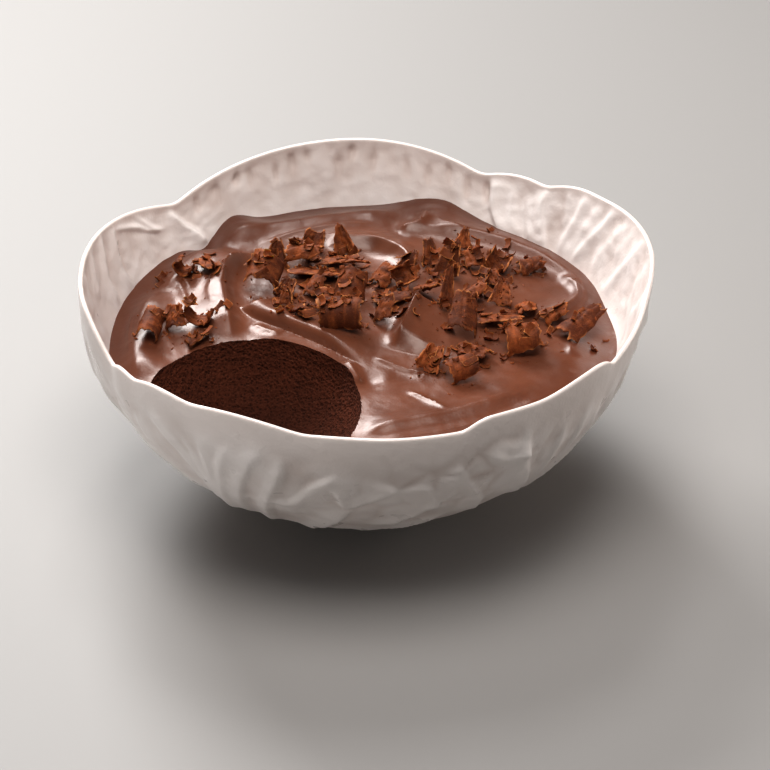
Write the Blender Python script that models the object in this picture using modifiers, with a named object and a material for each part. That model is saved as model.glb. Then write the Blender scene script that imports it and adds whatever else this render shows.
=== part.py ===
"""Chocolate mousse with chocolate curls in a glazed bowl shaped like overlapping leaves.

The bowl stands on the XY plane with its axis on Z. Every size below is in millimetres
and MM turns it into metres when a mesh is made. Azimuths are degrees from +X, turning
towards +Y, which is the back. Run with: blender --background --python part.py
"""

import math
import random

import bmesh
import bpy
import numpy as np
from mathutils import Matrix, Vector
from mathutils.bvhtree import BVHTree

MM = 0.001

# ---- bowl ----
RIM_RADIUS = 90.0
RIM_HEIGHT = 75.9
BASE_RADIUS = 7.7
BELLY_POWER = 0.6285
FOOT_RADIUS = 26.0
FOOT_TOP_RADIUS = 27.2
WALL_BOTTOM = 4.6
WALL_TOP = 2.4
FOOT_BEVEL = 0.6
FOOT_KEPT = 3.9
LOBE_DROP = 10.0
RIM_SOFTNESS = 0.9
LIFT_FROM = 0.62
LEAF_SWELL = 0.275
SWELL_HEIGHTS = (12.0, 62.0)
BELLY_LEAN = 1.5
BELLY_LEAN_AZIMUTH = 190.0
BELLY_LEAN_HEIGHTS = (4.0, 24.0)
CURVE_POINTS = 400
CURVE_CROWDING = 1.8
COLUMNS = 72
WALL_ROWS = 9
LIP_STEPS = 3

# Each leaf lobe of the rim: azimuth, height of its tip, and how many degrees past the tip
# and before it the rim has dropped by LOBE_DROP.
LEAF_LOBES = (
    (177, 79.6, 29, 37),
    (-167, 80.1, 12, 34),
    (94, 76.9, 48, 35),
    (51, 72.6, 20, 18),
    (32, 77.9, 18, 38),
    (3, 83.2, 40, 17),
    (-13, 75.4, 33, 36),
    (-40, 79.1, 11, 25),
    (-65, 77.9, 36, 8),
    (-81, 74.1, 58, 46),
    (-97, 75.2, 28, 18),
    (-115, 78.5, 22, 21),
    (-132, 76.9, 19, 15),
    (-146, 72.6, 16, 10),
)

# ---- mousse ----
LEVEL = 54.5
GAP = 0.35
TOP_RINGS = 19
SIDE_RINGS = 6
MOUND = 2.0
MOUND_CENTRE = (8.0, 20.0)
MOUND_RADIUS = 45.0
EDGE_BLEND_FROM = 0.8
NEAR_AXIS = 0.01

# Where the mousse climbs or sinks along the wall: azimuth, rise, spread in degrees.
EDGE_WAVES = (
    (73, 4.4, 10),
    (12, -1.6, 9),
    (-10, -3.0, 24),
    (184, -3.5, 24),
    (123, 3.2, 5),
    (134, -2.6, 4),
    (-82, -4.0, 32),
)

# How a ridge falls off to its sides, and the share of its length over which its ends fade.
RIDGE_POWER = 1.6
RIDGE_ENDS = 0.22

# Ridges left by the spoon: path, height, width to the left and to the right of the path.
STROKES = (
    (((-54, 52), (-42, 61), (-20, 68), (0, 73), (17, 74)), 3.4, 6, 6),
    (((20, 75), (20, 69), (17, 65), (9, 63)), 1.8, 3.5, 3.5),
    (((8, 64), (25, 63), (40, 59), (53, 52), (63, 43), (71, 32), (73, 22), (69, 12), (62, 5)), 3.8, 8, 4),
    (((-14, 54), (0, 56), (8, 52), (13, 46), (16, 36)), 2.8, 6, 3),
    (((-40, 50), (-46, 38), (-48, 29), (-47, 20), (-45, 8), (-43, -6)), 4.6, 3, 10),
    (((-38, -4), (-22, -13), (-10, -23), (-3, -34)), 1.8, 4, 5),
    (((19, 19), (16, 11), (14, 4), (12, -4), (9, -12)), 4.8, 14, 2.8),
    (((-5, -59), (10, -54), (25, -49), (40, -42), (57, -32)), 2.4, 11, 3.5),
    (((-45, 55), (-55, 48), (-62, 38), (-66, 24)), 2.2, 6, 4),
    (((-68, 28), (-73, 14), (-74, 0), (-74, -12), (-70, -28)), 2.6, 9, 4),
    (((74, 0), (71, -16), (62, -32), (48, -46)), 1.8, 5, 12),
)

# A fold rolled over towards the front left: path, height, width behind it and of its steep front.
FOLD = (((-37.5, 18), (-34, 12), (-28, 6.5), (-20.5, 1), (-12, -6), (-4, -13), (4, -20)), 3.5, 9.0, 2.8)
FOLD_FLARE = 1.2
FOLD_FLARE_SHARE = 0.15
FOLD_ROUNDNESS = 0.8
FOLD_START = 0.08
FOLD_END = 0.40

# Shallow dents: centre, half lengths along X and Y, depth.
DENTS = (
    (0, 46, 12, 9, 1.8),
    (1, -27, 4, 5, 1.2),
    (12, -24, 6, 5, 1.0),
    (21, 2, 7, 9, 1.0),
    (74, -8, 9, 14, 1.2),
    (-64, -10, 9, 10, 0.8),
)

SCOOP_CENTRE = (-36.0, -42.0, 58.0)
SCOOP_HALF_SIZES = (35.0, 38.0, 27.0)

# ---- chocolate curls ----
CURL_THICKNESS = 0.8
CURL_SEGMENTS = 6
CURL_GAP = 0.3
CURL_TWIST = 18.0
CURL_RAG = 0.1
DROP_FROM = 85.0
LOWEST_DROP = 49.5
DROP_STEPS = (1.2, 0.2)
SLIDES = (1.2, 2.4, 3.6)
SLIDE_DIRECTIONS = 8
SLIDE_COST = 0.7

# Each curl: x, y, then yaw, tilt and roll in degrees, then its length, the width of the
# shaving before it curled, the radius it curled to, and how wide its far end is as a
# share of its near end. The lowest ones come first.
CURLS = (
    (-69, 0, 80, 5, 200, 14, 13, 3.4, 0.7),
    (-62, 3, 104, 22, 165, 9, 9, 3.6, 0.6),
    (-54, 3, 76, 8, 35, 5, 21, 4.2, 0.9),
    (-54, -5, 20, 10, 165, 8, 7, 3.4, 0.5),
    (-61, 33, 62, 10, 40, 5, 14, 2.8, 0.9),
    (-53, 33, -50, 12, 180, 10, 7, 7.0, 0.4),
    (-17, 33, -30, 4, 185, 18, 8, 12.0, 0.8),
    (-8, 41, -38, 7, 190, 16, 8, 12.0, 0.5),
    (43, 4, -10, 4, 178, 14, 9, 10.0, 0.7),
    (9, 17, 15, 6, 182, 13, 9, 9.0, 0.6),
    (-33, 27, 74, 20, 205, 12, 19, 5.4, 0.9),
    (-30, 42, 84, 50, 10, 10, 11, 6.0, 0.2),
    (-21, 41, -20, 8, 182, 12, 10, 4.2, 0.8),
    (-18, 49, 80, 40, 24, 8, 12, 3.6, 0.6),
    (-10, 49, 92, 54, -12, 11, 11, 6.0, 0.15),
    (-26, 14, 92, 44, 0, 7, 6, 4.0, 0.3),
    (-27, 21, 66, 24, 20, 8, 8, 4.0, 0.5),
    (-17, 23, 60, 24, 172, 8, 9, 3.4, 0.7),
    (-20, 6, -60, 10, 180, 8, 6, 4.0, 0.6),
    (-5, 20, 80, 28, 188, 12, 15, 5.0, 0.8),
    (-13, 13, 74, 24, 172, 9, 9, 5.0, 0.6),
    (-8, 1, -8, 5, 194, 14, 20, 5.2, 0.9),
    (6, 6, 78, 36, 165, 9, 8, 4.4, 0.5),
    (3, 27, 50, 26, 190, 9, 9, 4.0, 0.7),
    (14, 36, 60, 38, 12, 9, 9, 5.0, 0.3),
    (13, 25, 20, 20, 35, 8, 12, 3.4, 0.8),
    (20, 19, -20, 22, 155, 8, 8, 4.4, 0.6),
    (28, 36, 80, 52, -14, 13, 13, 5.6, 0.3),
    (21, 39, 98, 42, 18, 10, 8, 6.0, 0.3),
    (33, 53, 70, 50, 4, 8, 8, 5.0, 0.15),
    (36, 41, 92, 28, 172, 8, 8, 4.4, 0.7),
    (42, 30, 78, 8, 182, 9, 7, 7.0, 0.6),
    (45, 38, 60, 22, 24, 8, 12, 3.6, 0.8),
    (55, 40, 15, 5, 186, 9, 10, 3.6, 0.6),
    (27, 13, 78, 48, 22, 15, 6, 6.0, 0.3),
    (35, 19, 30, 20, 165, 8, 9, 3.8, 0.8),
    (44, 20, 70, 36, 4, 9, 10, 6.0, 0.3),
    (50, 12, -85, 14, 182, 9, 8, 5.0, 0.7),
    (32, -1, 80, 26, 198, 14, 14, 5.2, 0.5),
    (35, -11, -35, 5, 178, 10, 9, 4.4, 0.7),
    (59, 8, 5, 18, 188, 9, 10, 4.4, 0.6),
    (70, 1, 42, 12, 194, 17, 13, 5.0, 0.35),
    (50, -10, 5, 4, 184, 12, 18, 4.8, 0.9),
    (21, -20, 65, 24, 24, 11, 11, 4.4, 0.4),
    (30, -27, 20, 8, 204, 10, 13, 3.8, 0.8),
)


def clear_scene():
    for obj in list(bpy.data.objects):
        bpy.data.objects.remove(obj, do_unlink=True)


def new_collection(name):
    collection = bpy.data.collections.new(name)
    bpy.context.scene.collection.children.link(collection)
    return collection


def principled(name, colour, roughness, coat=0.0):
    material = bpy.data.materials.new(name)
    material.use_nodes = True
    shader = material.node_tree.nodes["Principled BSDF"]
    shader.inputs["Base Color"].default_value = (*colour, 1.0)
    shader.inputs["Roughness"].default_value = roughness
    shader.inputs["Metallic"].default_value = 0.0
    shader.inputs["Coat Weight"].default_value = coat
    return material


def smoothstep(value, low, high):
    t = np.clip((value - low) / (high - low), 0.0, 1.0)
    return t * t * (3.0 - 2.0 * t)


def degrees_apart(azimuth, centre):
    return (azimuth - centre + 180.0) % 360.0 - 180.0


# ---- the bowl's form ----
def rim_height(azimuth):
    """The rim's height: a softened maximum of the leaf lobes that meet at this azimuth."""
    total = 0.0
    for centre, tip, past, before in LEAF_LOBES:
        away = degrees_apart(azimuth, centre)
        spread = np.where(away > 0.0, past, before)
        above = tip - LOBE_DROP * (away / spread) ** 2 - RIM_HEIGHT
        total = total + np.exp(above / RIM_SOFTNESS)
    return RIM_HEIGHT + RIM_SOFTNESS * np.log(total)


def outer_radius(height):
    share = np.clip(1.0 - height / RIM_HEIGHT, 0.0, 1.0)
    return BASE_RADIUS + (RIM_RADIUS - BASE_RADIUS) * (1.0 - share**2) ** BELLY_POWER


def wall_curve(depth_bottom, depth_top):
    """(radius, height) from the bottom to the rim, that far in from the outer wall."""
    height = RIM_HEIGHT * np.linspace(0.0, 1.0, CURVE_POINTS) ** CURVE_CROWDING
    radius = outer_radius(height)
    along_r = np.gradient(radius)
    along_z = np.gradient(height)
    size = np.hypot(along_r, along_z)
    depth = depth_bottom + (depth_top - depth_bottom) * height / RIM_HEIGHT
    return radius - depth * along_z / size, height + depth * along_r / size


def even_points(radius, height, count):
    """That many points at even distances along a curve."""
    length = np.concatenate([[0.0], np.cumsum(np.hypot(np.diff(radius), np.diff(height)))])
    wanted = np.linspace(0.0, length[-1], count)
    return np.interp(wanted, length, radius), np.interp(wanted, length, height)


def leaf_form(radius, azimuth, height):
    """Moves points of the plain turned bowl to the leafy one: lifted rim, swollen leaves."""
    rim = rim_height(azimuth)
    lift = smoothstep(height / RIM_HEIGHT, LIFT_FROM, 1.0) * (rim - RIM_HEIGHT)
    swell = LEAF_SWELL * (rim - RIM_HEIGHT) * smoothstep(height, *SWELL_HEIGHTS)
    belly = np.sin(np.pi * np.clip(height / RIM_HEIGHT, 0.0, 1.0))
    lean = BELLY_LEAN * np.cos(np.radians(azimuth - BELLY_LEAN_AZIMUTH)) * belly
    return radius + swell + lean * smoothstep(height, *BELLY_LEAN_HEIGHTS), height + lift


def bowl_profile():
    """The half section, from the middle of the floor up the inside and down the outside."""
    inner_r, inner_z = even_points(*wall_curve(WALL_BOTTOM, WALL_TOP), WALL_ROWS + 2)
    outer_r, outer_z = wall_curve(0.0, 0.0)
    join = outer_r > FOOT_TOP_RADIUS
    outer_r, outer_z = even_points(outer_r[join], outer_z[join], WALL_ROWS)
    lip_r = (inner_r[-1] + outer_r[-1]) / 2.0
    half = (outer_r[-1] - inner_r[-1]) / 2.0
    angles = np.linspace(math.pi, 0.0, LIP_STEPS + 2)[1:-1]
    lip = [(lip_r + half * math.cos(a), RIM_HEIGHT + half * math.sin(a)) for a in angles]
    points = [(0.0, inner_z[0])]
    points += list(zip(inner_r, inner_z))
    points += lip
    points += list(zip(outer_r, outer_z))[::-1]
    points += [(FOOT_TOP_RADIUS, outer_z[0] - FOOT_BEVEL), (FOOT_RADIUS, 0.0), (0.0, 0.0)]
    return points


def turned(name, profile, collection, columns):
    """A solid turned about Z by a Screw modifier, from a half section in millimetres."""
    mesh = bpy.data.meshes.new(name + "_section")
    points = [(r * MM, 0.0, z * MM) for r, z in profile]
    edges = [(i, i + 1) for i in range(len(points) - 1)]
    mesh.from_pydata(points, edges, [])
    obj = bpy.data.objects.new(name, mesh)
    collection.objects.link(obj)
    screw = obj.modifiers.new("turn", "SCREW")
    screw.axis = "Z"
    screw.angle = 2.0 * math.pi
    screw.steps = columns
    screw.render_steps = columns
    screw.use_merge_vertices = True
    screw.merge_threshold = 0.0001
    return obj


def apply_modifiers(obj):
    """Replaces the object's mesh by what its modifiers make of it."""
    bpy.context.view_layer.update()
    evaluated = obj.evaluated_get(bpy.context.evaluated_depsgraph_get())
    mesh = bpy.data.meshes.new_from_object(evaluated)
    obj.modifiers.clear()
    obj.data = mesh
    mesh.name = obj.name
    return mesh


def vertex_array(mesh):
    """The mesh's vertices in millimetres, one row each."""
    flat = np.empty(len(mesh.vertices) * 3)
    mesh.vertices.foreach_get("co", flat)
    return flat.reshape(-1, 3) / MM


def set_vertices(mesh, points):
    mesh.vertices.foreach_set("co", (np.asarray(points) * MM).ravel())
    mesh.update()


def shade(obj, material, smooth_angle=35.0):
    obj.data.materials.clear()
    obj.data.materials.append(material)
    obj.data.shade_smooth()
    obj.data.set_sharp_from_angle(angle=math.radians(smooth_angle))


def make_bowl(collection, material):
    bowl = turned("bowl", bowl_profile(), collection, COLUMNS)
    mesh = apply_modifiers(bowl)
    points = vertex_array(mesh)
    radius = np.hypot(points[:, 0], points[:, 1])
    azimuth = np.degrees(np.arctan2(points[:, 1], points[:, 0]))
    new_radius, new_height = leaf_form(radius, azimuth, points[:, 2])
    on_foot = points[:, 2] < FOOT_KEPT
    on_axis = radius < NEAR_AXIS
    scale = np.where(on_foot | on_axis, 1.0, new_radius / np.maximum(radius, NEAR_AXIS))
    points[:, 0] *= scale
    points[:, 1] *= scale
    points[:, 2] = np.where(on_foot, points[:, 2], new_height)
    set_vertices(mesh, points)
    shade(bowl, material)
    return bowl


# ---- the mousse's form ----
def smooth_path(points, per_span=6):
    """A Catmull-Rom curve through the points."""
    ends = [2 * np.array(points[0]) - np.array(points[1])]
    ends.append(2 * np.array(points[-1]) - np.array(points[-2]))
    knots = np.array([ends[0], *points, ends[1]], float)
    spans = []
    for i in range(1, len(knots) - 2):
        t = np.linspace(0.0, 1.0, per_span, endpoint=False)[:, None]
        a, b, c, d = knots[i - 1 : i + 3]
        curved = (2 * a - 5 * b + 4 * c - d) * t**2 + (3 * b - a - 3 * c + d) * t**3
        spans.append(0.5 * (2 * b + (c - a) * t + curved))
    return np.vstack([*spans, knots[-2]])


def along_path(x, y, path):
    """The signed distance from a path, positive to its left, and the share of it passed."""
    lengths = np.hypot(*np.diff(path, axis=0).T)
    total = lengths.sum()
    best = np.full(np.shape(x), np.inf)
    signed = np.zeros(np.shape(x))
    share = np.zeros(np.shape(x))
    passed = 0.0
    for start, end, length in zip(path[:-1], path[1:], lengths):
        ux, uy = (end - start) / length
        dx, dy = x - start[0], y - start[1]
        t = np.clip(dx * ux + dy * uy, 0.0, length)
        away = np.hypot(dx - t * ux, dy - t * uy)
        nearer = away < best
        best = np.where(nearer, away, best)
        signed = np.where(nearer, np.where(ux * dy - uy * dx > 0.0, away, -away), signed)
        share = np.where(nearer, (passed + t) / total, share)
        passed += length
    return signed, share


def stroke_height(x, y, points, height, left, right):
    """A ridge that fades at its ends, with a width of its own on each side."""
    signed, share = along_path(x, y, smooth_path(points))
    width = np.where(signed > 0.0, left, right)
    ends = smoothstep(share, 0.0, RIDGE_ENDS) * smoothstep(1.0 - share, 0.0, RIDGE_ENDS)
    return height * ends * np.exp(-((np.abs(signed) / width) ** RIDGE_POWER))


def fold_height(x, y, points, height, behind, front):
    """A fold with a blunt wide start and a front that swells out down to a sharp crease."""
    signed, share = along_path(x, y, smooth_path(points))
    wide = front * (1.0 + FOLD_FLARE * np.exp(-share / FOLD_FLARE_SHARE))
    back = np.exp(-((np.maximum(signed, 0.0) / behind) ** RIDGE_POWER))
    swell = np.clip(1.0 - (np.minimum(signed, 0.0) / wide) ** 2, 0.0, 1.0) ** FOLD_ROUNDNESS
    ends = smoothstep(share, 0.0, FOLD_START) * smoothstep(1.0 - share, 0.0, FOLD_END)
    return height * ends * back * swell


def bell(x, y, centre, half_sizes):
    """1 at the centre, falling off smoothly over the half sizes."""
    across = (x - centre[0]) / half_sizes[0]
    deep = (y - centre[1]) / half_sizes[1]
    return np.exp(-(across**2) - deep**2)


def mousse_height(x, y):
    """The top surface over any x and y, before it meets the wall."""
    height = LEVEL + MOUND * bell(x, y, MOUND_CENTRE, (MOUND_RADIUS, MOUND_RADIUS))
    for stroke in STROKES:
        height = height + stroke_height(x, y, *stroke)
    height = height + fold_height(x, y, *FOLD)
    for centre_x, centre_y, half_x, half_y, depth in DENTS:
        height = height - depth * bell(x, y, (centre_x, centre_y), (half_x, half_y))
    return height


def edge_height(azimuth):
    """The height of the line where the mousse meets the wall."""
    height = np.full(np.shape(azimuth), LEVEL)
    for centre, rise, spread in EDGE_WAVES:
        height = height + rise * np.exp(-((degrees_apart(azimuth, centre) / spread) ** 2))
    return height


def mousse_wall(azimuth):
    """Radii and heights along the wall at one azimuth, from the floor up to the mousse's edge."""
    curve_r, curve_z = wall_curve(WALL_BOTTOM + GAP, WALL_TOP + GAP)
    curve_r, curve_z = leaf_form(curve_r, azimuth, curve_z)
    edge = edge_height(azimuth)
    below = curve_z < edge
    side_r = np.append(curve_r[below], np.interp(edge, curve_z, curve_r))
    return side_r, np.append(curve_z[below], edge)


def plain_mousse_profile():
    """The half section of a plain mousse: a flat top of even rings, then the wall, then the floor."""
    wall_r, wall_z = wall_curve(WALL_BOTTOM + GAP, WALL_TOP + GAP)
    below = wall_z <= LEVEL
    side_r, side_z = even_points(wall_r[below], wall_z[below], SIDE_RINGS + 1)
    side_z[-1] = LEVEL
    top = [(radius, LEVEL) for radius in np.linspace(0.0, side_r[-1], TOP_RINGS + 1)[:-1]]
    return top + list(zip(side_r, side_z))[::-1] + [(0.0, side_z[0])]


def make_mousse(collection, material):
    """A turned solid whose top then follows the spoon's strokes and whose side the wall."""
    profile = plain_mousse_profile()
    plain_side = np.array(profile[TOP_RINGS:-1])[::-1]
    plain_edge = plain_side[-1, 0]
    mousse = turned("mousse", profile, collection, COLUMNS)
    mesh = apply_modifiers(mousse)
    points = vertex_array(mesh)
    for point in points:
        radius = math.hypot(point[0], point[1])
        if radius < NEAR_AXIS:
            direction = np.zeros(2)
            azimuth = 0.0
        else:
            direction = point[:2] / radius
            azimuth = math.degrees(math.atan2(point[1], point[0]))
        wall_r, wall_z = mousse_wall(azimuth)
        if point[2] > LEVEL - NEAR_AXIS:
            share = radius / plain_edge
            edge = direction * wall_r[-1]
            to_edge = wall_z[-1] - mousse_height(edge[0], edge[1])
            blend = smoothstep(share, EDGE_BLEND_FROM, 1.0)
            point[:2] = edge * share
            point[2] = mousse_height(point[0], point[1]) + to_edge * blend
        elif radius > NEAR_AXIS:
            steps = np.linspace(0.0, 1.0, SIDE_RINGS + 1)
            share = np.interp(point[2], plain_side[:, 1], steps)
            even_r, even_z = even_points(wall_r, wall_z, SIDE_RINGS + 1)
            point[:2] = direction * np.interp(share, steps, even_r)
            point[2] = np.interp(share, steps, even_z)
    set_vertices(mesh, points)
    shade(mousse, material)
    return mousse


def scoop_cutter(collection):
    """The spoon's mark, an ellipsoid that reaches the front wall."""
    mesh = bpy.data.meshes.new("scoop_cutter")
    ball = bmesh.new()
    bmesh.ops.create_uvsphere(ball, u_segments=40, v_segments=20, radius=1.0)
    ball.to_mesh(mesh)
    ball.free()
    cutter = bpy.data.objects.new("scoop_cutter", mesh)
    cutter.location = Vector(SCOOP_CENTRE) * MM
    cutter.scale = Vector(SCOOP_HALF_SIZES) * MM
    cutter.hide_render = True
    cutter.display_type = "WIRE"
    collection.objects.link(cutter)
    return cutter


def cut(obj, cutter):
    boolean = obj.modifiers.new("scooped", "BOOLEAN")
    boolean.operation = "DIFFERENCE"
    boolean.solver = "EXACT"
    boolean.object = cutter
    apply_modifiers(obj)


# ---- the curls ----
def curl_sheet(name, size, padding, noise):
    """A flat grid bent about its own X axis, open side up, with uneven ends."""
    length, width, radius, tip = size
    sheet = bmesh.new()
    bmesh.ops.create_grid(sheet, x_segments=1, y_segments=CURL_SEGMENTS, size=0.5)
    twist = math.radians(noise.uniform(-CURL_TWIST, CURL_TWIST))
    for vertex in sheet.verts:
        end = math.copysign(1.0, vertex.co.x)
        angle = vertex.co.y * (width + 2.0 * padding) / radius
        if end > 0.0:
            angle *= tip
        angle += end * twist
        ragged = noise.uniform(-CURL_RAG, CURL_RAG) * length
        along = end * (length / 2.0 + padding) + ragged
        across = radius * math.sin(angle)
        lift = radius * (1.0 - math.cos(angle))
        vertex.co = Vector((along, across, lift)) * MM
    mesh = bpy.data.meshes.new(name)
    sheet.to_mesh(mesh)
    sheet.free()
    return mesh


def curl_object(name, collection, size, turn, padding, seed):
    """One curl at the origin, thickened by its padding on each side as well."""
    mesh = curl_sheet(name, size, padding, random.Random(seed))
    obj = bpy.data.objects.new(name, mesh)
    collection.objects.link(obj)
    solid = obj.modifiers.new("thickness", "SOLIDIFY")
    solid.thickness = (CURL_THICKNESS + 2.0 * padding) * MM
    solid.offset = 0.0
    apply_modifiers(obj)
    yaw, tilt, roll = (math.radians(angle) for angle in turn)
    turned_over = Matrix.Rotation(-tilt, 4, "Y") @ Matrix.Rotation(roll, 4, "X")
    turned_round = Matrix.Rotation(yaw, 4, "Z") @ turned_over
    middle = sum((v.co for v in obj.data.vertices), Vector()) / len(obj.data.vertices)
    obj.matrix_world = turned_round @ Matrix.Translation(-middle)
    return obj


def world_soup(obj):
    """The object's vertices in world space and its faces."""
    points = [obj.matrix_world @ vertex.co for vertex in obj.data.vertices]
    faces = [tuple(face.vertices) for face in obj.data.polygons]
    return points, faces


def resting_height(points, faces, x, y, pile):
    """The lowest height at which the curl is clear, let down in coarse and then fine steps."""
    clear = DROP_FROM
    for step in DROP_STEPS:
        blocked = False
        while not blocked and clear > LOWEST_DROP:
            shift = Vector((x, y, clear - step)) * MM
            tree = BVHTree.FromPolygons([point + shift for point in points], faces)
            blocked = any(tree.overlap(other) for other in pile)
            if not blocked:
                clear -= step
    return clear


def settled_place(padded, x, y, pile):
    """The place within a short slide where the curl lies lowest, a slide counting as height."""
    points, faces = world_soup(padded)
    places = [(x, y, 0.0)]
    for slide in SLIDES:
        for angle in np.linspace(0.0, 2.0 * math.pi, SLIDE_DIRECTIONS, endpoint=False):
            places.append((x + slide * math.cos(angle), y + slide * math.sin(angle), slide))
    found = []
    for place_x, place_y, slide in places:
        height = resting_height(points, faces, place_x, place_y, pile)
        found.append((height + SLIDE_COST * slide, place_x, place_y, height))
    return Vector(min(found)[1:])


def make_curls(collection, material, mousse):
    pile = [BVHTree.FromPolygons(*world_soup(mousse))]
    for number, (x, y, *form) in enumerate(CURLS, start=1):
        turn = form[:3]
        size = form[3:]
        padded = curl_object("padded", collection, size, turn, CURL_GAP, number)
        place = settled_place(padded, x, y, pile)
        bpy.data.objects.remove(padded, do_unlink=True)
        curl = curl_object(f"curl_{number:02d}", collection, size, turn, 0.0, number)
        curl.location += place * MM
        bpy.context.view_layer.update()
        pile.append(BVHTree.FromPolygons(*world_soup(curl)))
        shade(curl, material, 50.0)


def main():
    clear_scene()
    food = new_collection("chocolate_mousse")
    helpers = new_collection("cutters")
    helpers.hide_render = True
    glaze = principled("white_glaze", (0.72, 0.67, 0.64), 0.22, coat=0.4)
    chocolate = principled("mousse_chocolate", (0.13, 0.045, 0.026), 0.32)
    shaving = principled("curl_chocolate", (0.085, 0.026, 0.012), 0.5)
    make_bowl(food, glaze)
    mousse = make_mousse(food, chocolate)
    cut(mousse, scoop_cutter(helpers))
    shade(mousse, chocolate)
    make_curls(food, shaving, mousse)


main()
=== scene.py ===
"""The finish of a bowl of chocolate mousse with chocolate curls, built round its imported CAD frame.

Sizes are in millimetres and MM turns them into metres when a mesh is made. Azimuths are degrees
from +X, turning towards +Y, which is the back; the scoop is at the front left. The forms of the
bowl, the mousse and the curls repeat the CAD model's own functions at a finer step.
"""

import math
import random

import bmesh
import bpy
import numpy as np
from mathutils import Matrix, Vector, noise
from mathutils.bvhtree import BVHTree


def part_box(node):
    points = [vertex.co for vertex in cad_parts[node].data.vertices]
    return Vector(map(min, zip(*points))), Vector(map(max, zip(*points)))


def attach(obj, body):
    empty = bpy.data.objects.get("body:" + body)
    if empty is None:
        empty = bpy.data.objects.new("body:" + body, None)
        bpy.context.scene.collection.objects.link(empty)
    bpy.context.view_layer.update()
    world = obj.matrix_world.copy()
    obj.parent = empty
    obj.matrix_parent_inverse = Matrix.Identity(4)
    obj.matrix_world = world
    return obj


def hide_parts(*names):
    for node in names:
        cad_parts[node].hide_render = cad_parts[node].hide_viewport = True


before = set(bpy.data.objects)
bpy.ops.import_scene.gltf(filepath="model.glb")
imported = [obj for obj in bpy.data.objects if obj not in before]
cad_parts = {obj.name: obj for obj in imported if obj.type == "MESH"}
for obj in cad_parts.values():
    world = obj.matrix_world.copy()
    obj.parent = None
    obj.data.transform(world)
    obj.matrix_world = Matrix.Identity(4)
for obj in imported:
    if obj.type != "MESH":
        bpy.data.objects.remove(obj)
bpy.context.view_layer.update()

MM = 0.001

# ---- bowl, as in the CAD model ----
RIM_RADIUS = 90.0
RIM_HEIGHT = 75.9
BASE_RADIUS = 7.7
BELLY_POWER = 0.6285
FOOT_RADIUS = 26.0
FOOT_TOP_RADIUS = 27.2
FOOT_BEVEL = 0.6
WALL_BOTTOM = 4.6
WALL_TOP = 2.4
FOOT_KEPT = 3.9
LOBE_DROP = 10.0
RIM_SOFTNESS = 0.9
LIFT_FROM = 0.62
LEAF_SWELL = 0.275
SWELL_HEIGHTS = (12.0, 62.0)
BELLY_LEAN = 1.5
BELLY_LEAN_AZIMUTH = 190.0
BELLY_LEAN_HEIGHTS = (4.0, 24.0)
CURVE_POINTS = 400
CURVE_CROWDING = 1.8
LEAF_LOBES = (
    (177, 79.6, 29, 37),
    (-167, 80.1, 12, 34),
    (94, 76.9, 48, 35),
    (51, 72.6, 20, 18),
    (32, 77.9, 18, 38),
    (3, 83.2, 40, 17),
    (-13, 75.4, 33, 36),
    (-40, 79.1, 11, 25),
    (-65, 77.9, 36, 8),
    (-81, 74.1, 58, 46),
    (-97, 75.2, 28, 18),
    (-115, 78.5, 22, 21),
    (-132, 76.9, 19, 15),
    (-146, 72.6, 16, 10),
)

# ---- bowl, finer than the CAD model ----
# The wall thins by this share over this height below the rim.
RIM_THINNING = 0.35
THINNED_BELOW_RIM = 12.0
BOWL_COLUMNS = 620
HIDDEN_BELOW = 48.0
HIDDEN_ROWS = 9
INNER_ROWS = 42
LIP_ROWS = 9
OUTER_ROWS = 96
FOOT_ROWS = 4

# The lip is painted darker: it takes the painted shade of a hollow this deep, so that it shows less bright.
LIP_PAINTED_SHADE = -0.3

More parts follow.
